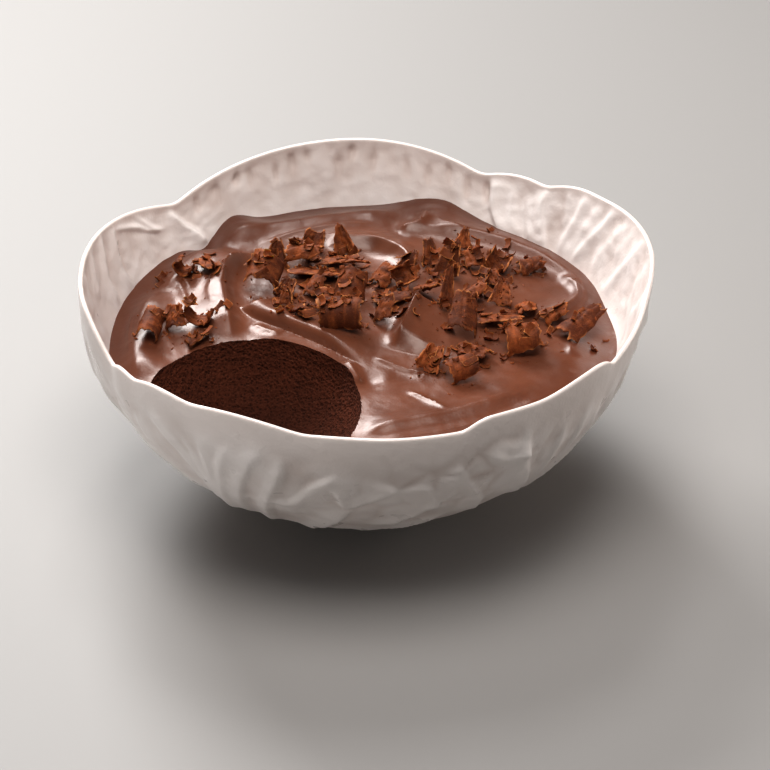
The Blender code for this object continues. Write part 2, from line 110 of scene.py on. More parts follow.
# Folds, ribs and leaf edges in the wall: path as (azimuth, height) points, then the height of
# the ridge and its width to the left and to the right of the path, seen from the wall's own side.
OUTER_FOLDS = (
    # the leaf at the front left, a fan of ribs that meet low on its right
    (((-160, 62), (-158, 50), (-150, 38), (-142, 28)), 0.9, 1.2, 5.0),
    (((-152, 64), (-152, 55), (-149, 44), (-140, 32)), 0.8, 3.6, 1.2),
    (((-143, 66), (-142, 55), (-138, 44), (-131, 30)), 0.7, 3.2, 1.2),
    (((-138, 69), (-133, 61), (-127, 51), (-126, 37), (-126, 24)), 1.0, 3.4, 1.2),
    (((-130, 66), (-126, 58), (-124, 48), (-125, 34)), 0.5, 1.4, 0.9),
    (((-124, 68), (-123, 55), (-123, 42), (-126, 25)), 0.8, 2.6, 1.2),
    (((-115, 68), (-119, 59), (-121, 47), (-125, 26)), 0.8, 2.4, 1.2),
    (((-109, 69), (-114, 56), (-117, 45), (-122, 23)), 1.0, 1.2, 3.2),
    (((-105, 69), (-107, 57), (-111, 44), (-117, 20)), 1.2, 1.2, 3.2),
    # branching veins of the front leaf
    (((-112, 45), (-105, 47), (-100, 56), (-94, 63)), 1.2, 0.8, 5.0),
    (((-96, 58), (-94, 46), (-89, 49), (-82, 57)), 1.1, 4.5, 0.8),
    (((-92, 46), (-98, 32), (-108, 20)), 1.3, 0.8, 4.5),
    (((-88, 60), (-83, 54), (-77, 54), (-73, 38)), 1.0, 0.8, 4.0),
    (((-90, 30), (-82, 34), (-74, 44), (-68, 50)), 1.1, 4.0, 0.8),
    (((-96, 26), (-88, 22), (-78, 26), (-68, 34)), 0.9, 3.0, 1.0),
    # the puckered leaf at the front right and its edge
    (((-72, 66), (-69, 54), (-64, 42), (-62, 28)), 1.2, 1.0, 4.0),
    (((-65, 63), (-60, 59), (-54, 61)), 1.0, 1.0, 3.0),
    (((-57, 69), (-56, 57), (-53, 46), (-50, 30)), 1.7, 1.0, 5.5),
    # the ribbed leaf at the right
    (((-46, 66), (-48, 52), (-48, 40), (-46, 26)), 1.0, 2.4, 0.9),
    (((-40, 66), (-42, 52), (-44, 38), (-44, 24)), 1.0, 2.4, 0.9),
    (((-33, 64), (-37, 52), (-41, 36), (-42, 22)), 1.1, 2.8, 0.9),
    (((-26, 66), (-30, 54), (-36, 38), (-39, 22)), 1.1, 2.8, 0.9),
    (((-19, 68), (-23, 54), (-30, 38), (-36, 22)), 1.2, 3.2, 0.9),
)
INNER_FOLDS = (
    # the edge of the back leaf, and the recessed leaf beside it
    (((60, 79), (60, 71), (59, 63), (56, 55), (52, 46)), 1.3, 6.0, 0.9),
    (((54, 73), (54, 63), (50, 54)), 0.4, 2.0, 1.2),
    (((50, 72), (49, 62), (46, 54)), 0.5, 2.0, 1.2),
    (((45, 78), (46, 70), (44.5, 62), (41, 52)), 1.2, 1.0, 5.0),
    # folds of the leaf inside at the right
    (((40, 78), (39, 69), (38, 60), (37, 52)), 0.4, 3.0, 1.4),
    (((34, 79), (35, 70), (37, 61), (38, 53)), 0.7, 2.2, 1.2),
    (((28, 79), (30, 71), (33, 62), (36, 54)), 0.4, 3.4, 1.8),
    (((23, 80), (26, 70), (31, 60), (33, 52)), 0.8, 2.6, 1.1),
    (((16, 81), (19, 72), (24, 62), (26, 54)), 0.5, 3.6, 1.6),
    (((11, 82), (15, 72), (20, 62)), 0.3, 2.0, 1.4),
    (((5, 83), (9, 72), (15, 61), (19, 52)), 0.7, 3.0, 1.3),
    (((-3, 82), (2, 70), (8, 59)), 0.4, 3.6, 1.8),
    (((-10, 80), (-5, 68), (1, 57)), 0.6, 2.8, 1.3),
    # creases of the left leaf
    (((159, 79), (160, 69), (160, 60), (158, 50)), 1.0, 1.0, 4.0),
    (((165, 80), (166, 70), (167, 62), (166, 50)), 1.0, 1.0, 3.6),
    (((172, 80), (173, 70), (174, 60)), 0.9, 1.2, 3.6),
    (((181, 80), (181, 70), (182, 60)), 0.8, 1.2, 3.6),
    (((160, 74), (152, 71), (147, 68), (142, 67)), 0.8, 1.6, 0.8),
    (((152, 76), (148, 71), (144, 66)), 0.6, 1.4, 0.7),
    (((141, 77), (138, 69), (134, 59), (131, 50)), 1.6, 0.9, 5.0),
)

# ---- mousse, as in the CAD model ----
LEVEL = 54.5
MOUND = 2.0
MOUND_CENTRE = (8.0, 20.0)
MOUND_RADIUS = 45.0
EDGE_WAVES = (
    (73, 4.4, 10),
    (12, -1.6, 9),
    (-10, -3.0, 24),
    (184, -3.5, 24),
    (123, 3.2, 5),
    (134, -2.6, 4),
    (-82, -4.0, 32),
)
STROKES = (
    (((-54, 52), (-42, 61), (-20, 68), (0, 73), (17, 74)), 3.4, 6, 6),
    (((20, 75), (20, 69), (17, 65), (9, 63)), 1.8, 3.5, 3.5),
    (((8, 64), (25, 63), (40, 59), (53, 52), (63, 43), (71, 32), (73, 22), (69, 12), (62, 5)), 3.8, 8, 4),
    (((-14, 54), (0, 56), (8, 52), (13, 46), (16, 36)), 2.8, 6, 3),
    (((-40, 50), (-46, 38), (-48, 29), (-47, 20), (-45, 8), (-43, -6)), 4.6, 3, 10),
    (((-38, -4), (-22, -13), (-10, -23), (-3, -34)), 1.8, 4, 5),
    (((19, 19), (16, 11), (14, 4), (12, -4), (9, -12)), 4.8, 14, 2.8),
    (((-5, -59), (10, -54), (25, -49), (40, -42), (57, -32)), 2.4, 11, 3.5),
    (((-45, 55), (-55, 48), (-62, 38), (-66, 24)), 2.2, 6, 4),
    (((-68, 28), (-73, 14), (-74, 0), (-74, -12), (-70, -28)), 2.6, 9, 4),
    (((74, 0), (71, -16), (62, -32), (48, -46)), 1.8, 5, 12),
)
# A fold rolled over towards the front left: path, height, width behind it and of its steep front.
FOLD = (((-37.5, 18), (-34, 12), (-28, 6.5), (-20.5, 1), (-12, -6), (-4, -13), (4, -20)), 3.5, 9.0, 2.8)
FOLD_FLARE = 1.2
FOLD_FLARE_SHARE = 0.15
FOLD_ROUNDNESS = 0.8
FOLD_START = 0.08
FOLD_END = 0.40

DENTS = (
    (0, 46, 12, 9, 1.8),
    (1, -27, 4, 5, 1.2),
    (12, -24, 6, 5, 1.0),
    (21, 2, 7, 9, 1.0),
    (74, -8, 9, 14, 1.2),
    (-64, -10, 9, 10, 0.8),
)
SCOOP_CENTRE = (-36.0, -42.0, 58.0)
SCOOP_HALF_SIZES = (35.0, 38.0, 27.0)

# ---- mousse, finer than the CAD model ----
MOUSSE_COLUMNS = 460
TOP_RINGS = 170
SIDE_ROWS = 8
# The mousse reaches this far below the wall's outer face, just into the ceramic.
MOUSSE_DEPTH_BOTTOM = 4.0
MOUSSE_DEPTH_TOP = 2.2
# What the spoon leaves on the wall where it scraped along it.
FILM = 0.9
FILM_UNEVEN = 0.35
FILM_ROWS = 60

# Finer marks of the spoon: path, height, width to the left and to the right.
FINE_STROKES = (
    (((-38, 54), (-24, 61), (-8, 66), (4, 67)), 0.9, 1.0, 3.5),
    (((20.5, 73), (19.5, 68), (16.5, 64.5), (11, 63)), 1.2, 2.6, 1.3),
    (((24, 71), (26, 66), (34, 61)), 0.7, 1.0, 2.5),
    (((-16, 53), (-4, 56.5), (6, 54), (12, 48), (16, 38)), 0.8, 3.0, 0.9),
    (((-28, 58), (-12, 60), (2, 62), (14, 60)), 0.5, 1.0, 3.0),
    (((64, 36), (69.5, 28), (69, 19), (61, 9)), 2.4, 1.6, 3.8),
        (((-38, 51), (-43, 43), (-47, 35), (-47, 25)), 2.2, 2.6, 1.3),
    (((-50, 32), (-52, 22), (-50, 12)), 0.5, 2.5, 1.0),
    (((-37, 5), (-32, 1), (-27, -2)), 0.8, 1.6, 1.6),
    (((-6, -17), (-4, -22), (-1, -29)), 1.4, 1.4, 2.6),
    (((19, 18), (16, 11), (14, 4), (12, -4), (10, -10)), 2.0, 2.2, 1.0),
    (((2, -15), (10, -20), (20, -24)), 0.7, 2.4, 1.0),
    (((13, -33), (20, -40), (26, -47)), 0.9, 0.9, 1.1),
    (((65, 1), (66, -7), (65, -14)), 1.1, 2.2, 1.4),
    (((-66, 40), (-62, 46), (-54, 51)), 0.7, 1.0, 1.6),
    (((-62, 30), (-60, 22), (-58, 12)), 0.8, 1.0, 1.8),
    (((-76, 16), (-77, 2), (-76, -10)), 0.5, 1.0, 1.0),
    (((-2, -57), (14, -51.5), (32, -45), (50, -35)), 0.8, 3.0, 1.8),
    (((0, -62), (20, -57), (40, -49), (58, -37)), 0.9, 2.8, 1.8),
    (((8, -67), (28, -62), (46, -54), (62, -42)), 0.8, 2.4, 1.8),
)

# ---- curls, as in the CAD model ----
CURL_TWIST = 18.0
CURLS = (
    (-69, 0, 80, 5, 200, 14, 13, 3.4, 0.7),
    (-62, 3, 104, 22, 165, 9, 9, 3.6, 0.6),
    (-54, 3, 76, 8, 35, 5, 21, 4.2, 0.9),
    (-54, -5, 20, 10, 165, 8, 7, 3.4, 0.5),
    (-61, 33, 62, 10, 40, 5, 14, 2.8, 0.9),
    (-53, 33, -50, 12, 180, 10, 7, 7.0, 0.4),
    (-17, 33, -30, 4, 185, 18, 8, 12.0, 0.8),
    (-8, 41, -38, 7, 190, 16, 8, 12.0, 0.5),
    (43, 4, -10, 4, 178, 14, 9, 10.0, 0.7),
    (9, 17, 15, 6, 182, 13, 9, 9.0, 0.6),
    (-33, 27, 74, 20, 205, 12, 19, 5.4, 0.9),
    (-30, 42, 84, 50, 10, 10, 11, 6.0, 0.2),
    (-21, 41, -20, 8, 182, 12, 10, 4.2, 0.8),
    (-18, 49, 80, 40, 24, 8, 12, 3.6, 0.6),
    (-10, 49, 92, 54, -12, 11, 11, 6.0, 0.15),
    (-26, 14, 92, 44, 0, 7, 6, 4.0, 0.3),
    (-27, 21, 66, 24, 20, 8, 8, 4.0, 0.5),
    (-17, 23, 60, 24, 172, 8, 9, 3.4, 0.7),
    (-20, 6, -60, 10, 180, 8, 6, 4.0, 0.6),
    (-5, 20, 80, 28, 188, 12, 15, 5.0, 0.8),
    (-13, 13, 74, 24, 172, 9, 9, 5.0, 0.6),
    (-8, 1, -8, 5, 194, 14, 20, 5.2, 0.9),
    (6, 6, 78, 36, 165, 9, 8, 4.4, 0.5),
    (3, 27, 50, 26, 190, 9, 9, 4.0, 0.7),
    (14, 36, 60, 38, 12, 9, 9, 5.0, 0.3),
    (13, 25, 20, 20, 35, 8, 12, 3.4, 0.8),
    (20, 19, -20, 22, 155, 8, 8, 4.4, 0.6),
    (28, 36, 80, 52, -14, 13, 13, 5.6, 0.3),
    (21, 39, 98, 42, 18, 10, 8, 6.0, 0.3),
    (33, 53, 70, 50, 4, 8, 8, 5.0, 0.15),
    (36, 41, 92, 28, 172, 8, 8, 4.4, 0.7),
    (42, 30, 78, 8, 182, 9, 7, 7.0, 0.6),
    (45, 38, 60, 22, 24, 8, 12, 3.6, 0.8),
    (55, 40, 15, 5, 186, 9, 10, 3.6, 0.6),
    (27, 13, 78, 48, 22, 15, 6, 6.0, 0.3),
    (35, 19, 30, 20, 165, 8, 9, 3.8, 0.8),
    (44, 20, 70, 36, 4, 9, 10, 6.0, 0.3),
    (50, 12, -85, 14, 182, 9, 8, 5.0, 0.7),
    (32, -1, 80, 26, 198, 14, 14, 5.2, 0.5),
    (35, -11, -35, 5, 178, 10, 9, 4.4, 0.7),
    (59, 8, 5, 18, 188, 9, 10, 4.4, 0.6),
    (70, 1, 42, 12, 194, 17, 13, 5.0, 0.35),
    (50, -10, 5, 4, 184, 12, 18, 4.8, 0.9),
    (21, -20, 65, 24, 24, 11, 11, 4.4, 0.4),
    (30, -27, 20, 8, 204, 10, 13, 3.8, 0.8),
)

# ---- curls, finer than the CAD model ----
CURL_CELLS = (30, 44)
CURL_THICKNESS = 0.75
CURL_SINK = 0.55

# ---- small shavings and crumbs ----
SHAVINGS = 320
CRUMBS = 1100

# ---- camera and light ----
AIM = (6.226, 0.0, 34.861)
CAMERA_ELEVATION = 33.842
CAMERA_DISTANCE = 900.0
LENS = 128.51
SENSOR = 36.0
WORLD_LIGHT = 0.06
WORLD_COLOUR = (1.0, 0.94, 0.89)
LIGHT_TARGET = (0.0, 0.0, 50.0)
EXPOSURE = 0.22
GAMMA = 0.86
FLOOR_COLOUR = (0.29, 0.279, 0.27)
WHITE = (1.0, 1.0, 1.0)
WARM = (1.0, 0.93, 0.88)

# Soft boxes: name, azimuth and elevation that the light comes from, distance, power in watts,
# side and colour.
LIGHTS = (
    ("window", 116, 37, 900, 9.0, 380, WHITE),
    ("low_left", 190, 6, 900, 1.5, 240, WHITE),
    ("back_high", 100, 62, 900, 2.0, 220, WHITE),
    ("top", 265, 76, 900, 5.4, 600, WHITE),
    ("front_high", 270, 75, 900, 2.6, 400, WARM),
    ("low_right", 18, 12, 900, 2.1, 400, WARM),
)


# ---- small helpers ----
def smoothstep(value, low, high):
    t = np.clip((value - low) / (high - low), 0.0, 1.0)
    return t * t * (3.0 - 2.0 * t)


def degrees_apart(azimuth, centre):
    return (azimuth - centre + 180.0) % 360.0 - 180.0


def bell(value, centre, half_width):
    return np.exp(-(((value - centre) / half_width) ** 2))


def smooth_path(points, per_span=6):
    """A Catmull-Rom curve through the points."""
    ends = [2 * np.array(points[0]) - np.array(points[1])]
    ends.append(2 * np.array(points[-1]) - np.array(points[-2]))
    knots = np.array([ends[0], *points, ends[1]], float)
    spans = []
    for i in range(1, len(knots) - 2):
        t = np.linspace(0.0, 1.0, per_span, endpoint=False)[:, None]
        a, b, c, d = knots[i - 1 : i + 3]
        cubic = (2 * a - 5 * b + 4 * c - d) * t**2 + (3 * b - a - 3 * c + d) * t**3
        spans.append(0.5 * (2 * b + (c - a) * t + cubic))
    return np.vstack([*spans, knots[-2]])


def along_path(points, up, path):
    """The signed distance from a path, positive to its left, and the share of it passed."""
    lengths = np.linalg.norm(np.diff(path, axis=0), axis=1)
    best = np.full(len(points), np.inf)
    signed = np.zeros(len(points))
    share = np.zeros(len(points))
    passed = 0.0
    for start, end, length in zip(path[:-1], path[1:], lengths):
        forward = (end - start) / length
        offset = points - start
        t = np.clip(offset @ forward, 0.0, length)
        away = np.linalg.norm(offset - t[:, None] * forward, axis=1)
        on_left = np.einsum("ij,ij->i", np.cross(up, forward), offset) > 0.0
        nearer = away < best
        best = np.where(nearer, away, best)
        signed = np.where(nearer, np.where(on_left, away, -away), signed)
        share = np.where(nearer, (passed + t) / lengths.sum(), share)
        passed += length
    return signed, share


RIDGE_REACH = 2.7
RIDGE_POWER = 1.6
CREST_POWER = 1.15
RIDGE_ENDS = 0.22


def ridge(points, up, path, height, left, right, power=RIDGE_POWER):
    """A ridge along a path that fades at its ends, with a width of its own on each side."""
    reach = RIDGE_REACH * max(left, right)
    near = np.all((points > path.min(axis=0) - reach) & (points < path.max(axis=0) + reach), axis=1)
    raised = np.zeros(len(points))
    signed, share = along_path(points[near], up[near], path)
    width = np.where(signed > 0.0, left, right)
    ends = smoothstep(share, 0.0, RIDGE_ENDS) * smoothstep(1.0 - share, 0.0, RIDGE_ENDS)
    raised[near] = height * ends * np.exp(-((np.abs(signed) / width) ** power))
    return raised


def noise_field(points, size, seed=0.0, octaves=1):
    """Smooth noise from about -1 to 1 over points in millimetres, with features of that size."""
    offset = Vector((seed * 17.3, seed * 5.1, seed * 9.7))
    scaled = points / size
    if octaves == 1:
        return np.array([noise.noise(Vector(p) + offset) for p in scaled])
    return np.array([noise.fractal(Vector(p) + offset, 1.0, 2.0, octaves) for p in scaled])


def cell_field(points, size):
    """0 on the borders between cells of about that size, 1 inside them."""
    found = [noise.voronoi(Vector(p))[0] for p in points / size]
    return np.clip(np.array([f[1] - f[0] for f in found]) / 0.45, 0.0, 1.0)


def link(obj):
    bpy.context.scene.collection.objects.link(obj)
    return obj


def mesh_object(name, points, faces):
    """An object from points in millimetres."""
    mesh = bpy.data.meshes.new(name)
    mesh.from_pydata((np.asarray(points) * MM).tolist(), [], faces)
    mesh.update()
    return link(bpy.data.objects.new(name, mesh))


def ring_solid(name, rings, first_pole, last_pole):
    """A closed solid of rings of points, each ring an array of columns, closed by a pole at each end."""
    rows, columns = rings.shape[:2]
    points = np.vstack([rings.reshape(-1, 3), [first_pole, last_pole]])
    faces = []
    for row in range(rows - 1):
        for column in range(columns):
            beside = (column + 1) % columns
            here, there = row * columns, (row + 1) * columns
            faces.append((here + column, there + column, there + beside, here + beside))
    first, last = rows * columns, rows * columns + 1
    for column in range(columns):
        beside = (column + 1) % columns
        faces.append((first, column, beside))
        faces.append((last, (rows - 1) * columns + beside, (rows - 1) * columns + column))
    return mesh_object(name, points, faces)


def float_attribute(mesh, name, values):
    attribute = mesh.attributes.new(name, "FLOAT", "POINT")
    attribute.data.foreach_set("value", np.asarray(values, np.float32))


def finish_piece(obj, slot, *nodes):
    """Rides on the one body and stands for its CAD nodes, which it hides; its slot is not used."""
    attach(obj, "root")
    if nodes:
        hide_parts(*nodes)


def smooth_shade(obj, sharp_angle=60.0):
    obj.data.shade_smooth()
    obj.data.set_sharp_from_angle(angle=math.radians(sharp_angle))


# ---- materials ----
def new_material(name):
    """A material with its node tree and its Principled shader."""
    material = bpy.data.materials.new(name)
    material.use_nodes = True
    tree = material.node_tree
    return material, tree, tree.nodes["Principled BSDF"]


def node(tree, kind, **settings):
    made = tree.nodes.new(kind)
    for name, value in settings.items():
        if name in made.inputs:
            made.inputs[name].default_value = value
        else:
            setattr(made, name, value)
    return made


def coordinates(tree, stretch=(1.0, 1.0, 1.0)):
    """Object coordinates in millimetres, stretched along each axis."""
    place = node(tree, "ShaderNodeTexCoord")
    scale = node(tree, "ShaderNodeMapping")
    scale.inputs["Scale"].default_value = [s / MM for s in stretch]
    tree.links.new(place.outputs["Object"], scale.inputs["Vector"])
    return scale.outputs["Vector"]


def noise_node(tree, vector, size, detail=2.0, roughness=0.5):
    """Noise with features of that size in millimetres."""
    made = node(tree, "ShaderNodeTexNoise", Scale=1.0 / size, Detail=detail, Roughness=roughness)
    tree.links.new(vector, made.inputs["Vector"])
    return made.outputs["Fac"]


def voronoi_node(tree, vector, size, feature="F1", smooth=0.3):
    made = node(tree, "ShaderNodeTexVoronoi", feature=feature, Scale=1.0 / size)
    if feature == "SMOOTH_F1":
        made.inputs["Smoothness"].default_value = smooth
    tree.links.new(vector, made.inputs["Vector"])
    return made.outputs["Distance"]


def ramp(tree, value, low, high, start=0.0, end=1.0):
    """Maps a value from low..high to start..end."""
    made = node(tree, "ShaderNodeMapRange")
    made.inputs["From Min"].default_value = low
    made.inputs["From Max"].default_value = high
    made.inputs["To Min"].default_value = start
    made.inputs["To Max"].default_value = end
    tree.links.new(value, made.inputs["Value"])
    return made.outputs["Result"]


def mix_colours(tree, share, first, second, blend="MIX"):
    """A mix of two colours, each a tuple or a socket, by a share that is a number or a socket."""
    made = node(tree, "ShaderNodeMix", data_type="RGBA", blend_type=blend)
    for socket, value in zip((made.inputs["Factor"], made.inputs["A"], made.inputs["B"]), (share, first, second)):
        set_socket(tree, socket, value)
    return [s for s in made.outputs if s.type == "RGBA"][0]


def set_socket(tree, socket, value):
    if isinstance(value, bpy.types.NodeSocket):
        tree.links.new(value, socket)
    elif isinstance(value, tuple):
        socket.default_value = (*value, 1.0)
    else:
        socket.default_value = value


def math_node(tree, operation, first, second):
    made = node(tree, "ShaderNodeMath", operation=operation)
    for socket, value in zip(made.inputs, (first, second)):
        set_socket(tree, socket, value)
    return made.outputs[0]


def attribute_node(tree, name):
    return node(tree, "ShaderNodeAttribute", attribute_name=name).outputs["Fac"]


def bump(tree, height, distance, before=None, strength=1.0):
    """A bump of that depth in millimetres, on top of another bump if one is given."""
    made = node(tree, "ShaderNodeBump", Strength=strength, Distance=distance * MM)
    tree.links.new(height, made.inputs["Height"])
    if before is not None:
        tree.links.new(before, made.inputs["Normal"])
    return made.outputs["Normal"]


def glaze_material():
    """White ceramic under a clear glaze, with painted shade that makes it a little darker and warmer in the
    hollows.
    """
    material, tree, shader = new_material("white_glaze")
    place = coordinates(tree)
    clouds = noise_node(tree, place, 22.0, 3.0)
    body = mix_colours(tree, ramp(tree, clouds, 0.35, 0.65), (0.86, 0.795, 0.76), (0.90, 0.84, 0.81))
    # Painted shade: the hollows of the relief, and the lip, are coloured darker and warmer.
    hollow = ramp(tree, attribute_node(tree, "relief"), -0.5, 0.35, 0.75, 0.0)
    painted_hollow_shade = mix_colours(tree, hollow, body, (0.66, 0.555, 0.505))
    crest = ramp(tree, attribute_node(tree, "relief"), 0.45, 1.4, 0.0, 0.5)
    colour = mix_colours(tree, crest, painted_hollow_shade, (0.90, 0.85, 0.82))
    tree.links.new(colour, shader.inputs["Base Color"])
    tree.links.new(ramp(tree, noise_node(tree, place, 9.0, 2.0), 0.3, 0.7, 0.26, 0.40), shader.inputs["Roughness"])
    shader.inputs["Coat Weight"].default_value = 0.2
    shader.inputs["Coat Roughness"].default_value = 0.18
    shader.inputs["Specular IOR Level"].default_value = 0.45
    uneven = bump(tree, noise_node(tree, place, 3.2, 2.0), 0.16)
    fine = bump(tree, noise_node(tree, place, 0.8, 2.0), 0.03, uneven)
    tree.links.new(fine, shader.inputs["Normal"])
    return material


def mousse_material():
    """Satin milk-chocolate mousse with tiny air bubbles, and painted shade along its margin by the wall."""
    material, tree, shader = new_material("mousse_surface")
    place = coordinates(tree)
    patches = noise_node(tree, place, 14.0, 3.0)
    body = mix_colours(tree, ramp(tree, patches, 0.35, 0.65), (0.112, 0.0368, 0.0183), (0.140, 0.0472, 0.0236))
    # Painted shade: the colour darkens towards the wall.
    outward = node(tree, "ShaderNodeVectorMath", operation="LENGTH")
    tree.links.new(coordinates(tree, (1.0, 1.0, 0.0)), outward.inputs[0])
    margin = ramp(tree, outward.outputs["Value"], 56.0, 80.0, 0.0, 0.6)
    colour = mix_colours(tree, margin, body, (0.080, 0.0205, 0.0082))
    tree.links.new(colour, shader.inputs["Base Color"])
    gloss = ramp(tree, noise_node(tree, place, 5.0, 3.0), 0.3, 0.7, 0.28, 0.36)
    tree.links.new(gloss, shader.inputs["Roughness"])
    shader.inputs["Specular IOR Level"].default_value = 0.4
    shader.inputs["Specular Tint"].default_value = (1.0, 0.94, 0.90, 1.0)
    shader.inputs["Subsurface Weight"].default_value = 0.08
    shader.inputs["Subsurface Radius"].default_value = (0.9, 0.35, 0.2)
    shader.inputs["Subsurface Scale"].default_value = 1.5 * MM
    cream = bump(tree, noise_node(tree, place, 2.6, 2.0), 0.05)
    bubbles = bump(tree, voronoi_node(tree, place, 0.7, "SMOOTH_F1"), 0.02, cream)
    tree.links.new(bubbles, shader.inputs["Normal"])
    return material


def scoop_material():
    """The mousse where it was broken open: darker, matt and full of pores, with painted shade in the pores and
    towards the bottom.
    """
    material, tree, shader = new_material("mousse_crumb")
    place = coordinates(tree)
    pores = voronoi_node(tree, place, 1.0)
    grain = noise_node(tree, place, 0.7, 3.0)
    patches = noise_node(tree, place, 9.0, 2.0)
    body = mix_colours(tree, ramp(tree, patches, 0.3, 0.7), (0.066, 0.0176, 0.0086), (0.088, 0.0236, 0.0112))
    # Painted shade: the pores are coloured nearly black.
    painted_pore_shade = mix_colours(tree, ramp(tree, pores, 0.15, 0.48, 0.7, 0.0), body, (0.010, 0.0028, 0.0016))
    broken = mix_colours(tree, ramp(tree, grain, 0.52, 0.72, 0.0, 0.7), painted_pore_shade, (0.125, 0.040, 0.0200))
    split = node(tree, "ShaderNodeSeparateXYZ")
    tree.links.new(place, split.inputs["Vector"])
    # Painted shade: the colour darkens towards the bottom of the scoop.
    painted_low_shade = ramp(tree, split.outputs["Z"], 34.0, 50.0, 0.65, 0.0)
    colour = mix_colours(tree, painted_low_shade, broken, (0.014, 0.0040, 0.0022))
    tree.links.new(colour, shader.inputs["Base Color"])
    shader.inputs["Roughness"].default_value = 1.0
    shader.inputs["Specular IOR Level"].default_value = 0.1
    deep = bump(tree, pores, 0.5)
    fine = bump(tree, grain, 0.4, deep)
    tree.links.new(fine, shader.inputs["Normal"])
    return material


def curl_material():
    """Shaved chocolate: streaked, with thin edges painted a lighter brown for the glow of light through them."""
    material, tree, shader = new_material("curl_chocolate")
    place = coordinates(tree)
    tone = attribute_node(tree, "tone")
    grain = noise_node(tree, place, 0.5, 2.0)
    shade = math_node(tree, "ADD", tone, ramp(tree, grain, 0.3, 0.7, -0.14, 0.14))
    body = mix_colours(tree, ramp(tree, shade, 0.0, 1.0), (0.078, 0.0192, 0.0066), (0.335, 0.0930, 0.0262))
    # Painted glow: the thin edges are coloured lighter brown in patches, for light shining through them.
    border = ramp(tree, attribute_node(tree, "edge"), 0.0, 0.16, 1.0, 0.0)
    broken = ramp(tree, noise_node(tree, place, 3.5, 2.0), 0.45, 0.62, 0.0, 0.75)
    colour = mix_colours(tree, math_node(tree, "MULTIPLY", border, broken), body, (0.55, 0.220, 0.075))
    tree.links.new(colour, shader.inputs["Base Color"])
    shader.inputs["Roughness"].default_value = 0.6
    shader.inputs["Specular IOR Level"].default_value = 0.12
    shader.inputs["Subsurface Weight"].default_value = 0.15
    shader.inputs["Subsurface Radius"].default_value = (1.0, 0.4, 0.15)
    shader.inputs["Subsurface Scale"].default_value = 0.8 * MM
    ribs = bump(tree, tone, 0.16)
    fine = bump(tree, grain, 0.05, ribs)
    tree.links.new(fine, shader.inputs["Normal"])
    return material


# ---- the bowl ----
def rim_height(azimuth):
    """The rim's height: a softened maximum of the leaf lobes that meet at this azimuth."""
    total = 0.0
    for centre, tip, past, before in LEAF_LOBES:
        away = degrees_apart(azimuth, centre)
        spread = np.where(away > 0.0, past, before)
        above = tip - LOBE_DROP * (away / spread) ** 2 - RIM_HEIGHT
        total = total + np.exp(above / RIM_SOFTNESS)
    return RIM_HEIGHT + RIM_SOFTNESS * np.log(total)


def outer_radius(height):
    share = np.clip(1.0 - height / RIM_HEIGHT, 0.0, 1.0)
    return BASE_RADIUS + (RIM_RADIUS - BASE_RADIUS) * (1.0 - share**2) ** BELLY_POWER


def wall_curve(depth_bottom, depth_top):
    """(radius, height) from the bottom to the rim, that far in from the outer wall."""
    height = RIM_HEIGHT * np.linspace(0.0, 1.0, CURVE_POINTS) ** CURVE_CROWDING
    radius = outer_radius(height)
    along_r = np.gradient(radius)
    along_z = np.gradient(height)
    size = np.hypot(along_r, along_z)
    depth = depth_bottom + (depth_top - depth_bottom) * height / RIM_HEIGHT
    thinned = RIM_THINNING * smoothstep(height, RIM_HEIGHT - THINNED_BELOW_RIM, RIM_HEIGHT)
    depth = depth * (1.0 - thinned)
    return radius - depth * along_z / size, height + depth * along_r / size


def even_points(radius, height, count):
    """That many points at even distances along a curve."""
    length = np.concatenate([[0.0], np.cumsum(np.hypot(np.diff(radius), np.diff(height)))])
    wanted = np.linspace(0.0, length[-1], count)
    return np.interp(wanted, length, radius), np.interp(wanted, length, height)


def leaf_form(radius, azimuth, height):
    """Moves points of the plain turned bowl to the leafy one: lifted rim, swollen leaves."""
    rim = rim_height(azimuth)
    lift = smoothstep(height / RIM_HEIGHT, LIFT_FROM, 1.0) * (rim - RIM_HEIGHT)
    swell = LEAF_SWELL * (rim - RIM_HEIGHT) * smoothstep(height, *SWELL_HEIGHTS)
    belly = np.sin(np.pi * np.clip(height / RIM_HEIGHT, 0.0, 1.0))
    lean = BELLY_LEAN * np.cos(np.radians(azimuth - BELLY_LEAN_AZIMUTH)) * belly
    return radius + swell + lean * smoothstep(height, *BELLY_LEAN_HEIGHTS), height + lift


